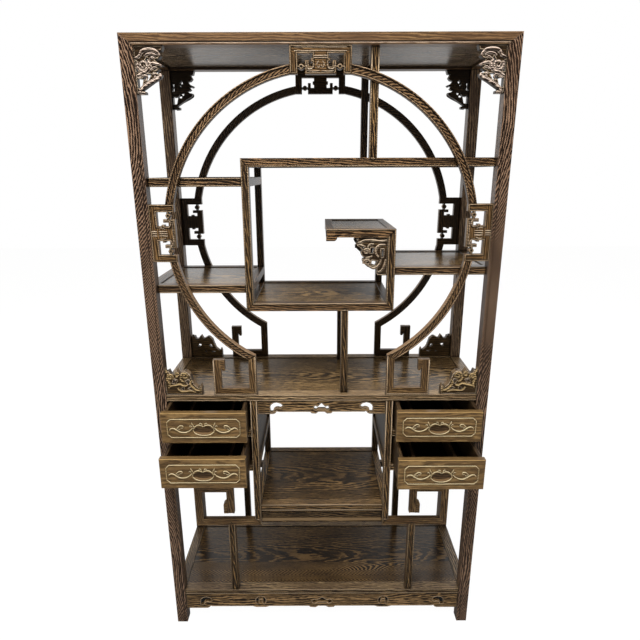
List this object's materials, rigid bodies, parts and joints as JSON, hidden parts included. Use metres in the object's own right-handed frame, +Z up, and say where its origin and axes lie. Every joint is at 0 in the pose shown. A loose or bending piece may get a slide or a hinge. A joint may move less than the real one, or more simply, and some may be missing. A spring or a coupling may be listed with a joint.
{
  "type": "curio cabinet",
  "caption": "Tall open curio and book cabinet with corner posts, stepped shelves, an open ring, pierced brackets, meander frets and drawers that slide.",
  "frame": {"origin": "on the floor, under the middle of the cabinet's outline with its drawers standing open", "axes": "+X to the right seen from the front, +Y from the front to the back, +Z up"},
  "size_m": [1, 0.488, 1.83],
  "materials": {
    "frame_wood": "satin lacquer on dark striped hardwood",
    "panel_wood": "satin lacquer on flat-sawn dark striped hardwood",
    "drawer_front_wood": "satin lacquer on carved striped hardwood",
    "drawer_side_wood": "thin satin lacquer on dark hardwood",
    "drawer_bottom_wood": "dark stained board, matt"
  },
  "bodies": {
    "cabinet": {"front_right_post": "frame_wood", "front_left_post": "frame_wood", "back_right_post": "frame_wood", "back_left_post": "frame_wood", "top_frame": "frame_wood", "base_shelf_frame": "frame_wood", "middle_shelf_frame": "frame_wood", "long_shelf_frame": "frame_wood", "box_shelf_frame": "frame_wood", "upper_left_shelf_frame": "frame_wood", "lower_left_shelf_frame": "frame_wood", "right_shelf_frame": "frame_wood", "small_shelf_frame": "frame_wood", "lower_shelf_frame": "frame_wood", "ring_front_arcs": "frame_wood", "ring_back_arcs": "frame_wood", "ring_feet": "frame_wood", "top_key_brackets": "frame_wood", "side_key_brackets": "frame_wood", "box_left_uprights": "frame_wood", "box_right_uprights": "frame_wood", "top_dividers": "frame_wood", "middle_uprights": "frame_wood", "inner_uprights": "frame_wood", "upper_corner_brackets": "frame_wood", "lower_corner_brackets": "frame_wood", "small_shelf_brackets": "frame_wood", "lower_frets": "frame_wood", "fret_posts": "frame_wood", "drawer_case_rails": "frame_wood", "drawer_runners": "frame_wood", "panel_battens": "frame_wood", "centre_aprons": "frame_wood", "base_aprons": "frame_wood", "lower_shelf_aprons": "frame_wood", "top_panel": "panel_wood", "base_shelf_panel": "panel_wood", "middle_shelf_panel": "panel_wood", "long_shelf_panel": "panel_wood", "box_shelf_panel": "panel_wood", "upper_left_shelf_panel": "panel_wood", "lower_left_shelf_panel": "panel_wood", "right_shelf_panel": "panel_wood", "small_shelf_panel": "panel_wood", "lower_shelf_panel": "panel_wood", "drawer_case_panels": "panel_wood"},
    "upper_left_drawer": {"upper_left_drawer_front": "drawer_front_wood", "upper_left_drawer_box": "drawer_side_wood", "upper_left_drawer_bottom": "drawer_bottom_wood"},
    "upper_right_drawer": {"upper_right_drawer_front": "drawer_front_wood", "upper_right_drawer_box": "drawer_side_wood", "upper_right_drawer_bottom": "drawer_bottom_wood"},
    "lower_left_drawer": {"lower_left_drawer_front": "drawer_front_wood", "lower_left_drawer_box": "drawer_side_wood", "lower_left_drawer_bottom": "drawer_bottom_wood"},
    "lower_right_drawer": {"lower_right_drawer_front": "drawer_front_wood", "lower_right_drawer_box": "drawer_side_wood", "lower_right_drawer_bottom": "drawer_bottom_wood"}
  },
  "joints": [
    {"name": "upper_left_drawer_slide", "type": "slide", "parent": "cabinet", "child": "upper_left_drawer", "axis": [0, -1, 0], "range_m": [-0.078, 0.142]},
    {"name": "upper_right_drawer_slide", "type": "slide", "parent": "cabinet", "child": "upper_right_drawer", "axis": [0, -1, 0], "range_m": [-0.076, 0.144]},
    {"name": "lower_left_drawer_slide", "type": "slide", "parent": "cabinet", "child": "lower_left_drawer", "axis": [0, -1, 0], "range_m": [-0.124, 0.096]},
    {"name": "lower_right_drawer_slide", "type": "slide", "parent": "cabinet", "child": "lower_right_drawer", "axis": [0, -1, 0], "range_m": [-0.134, 0.086]}
  ]
}
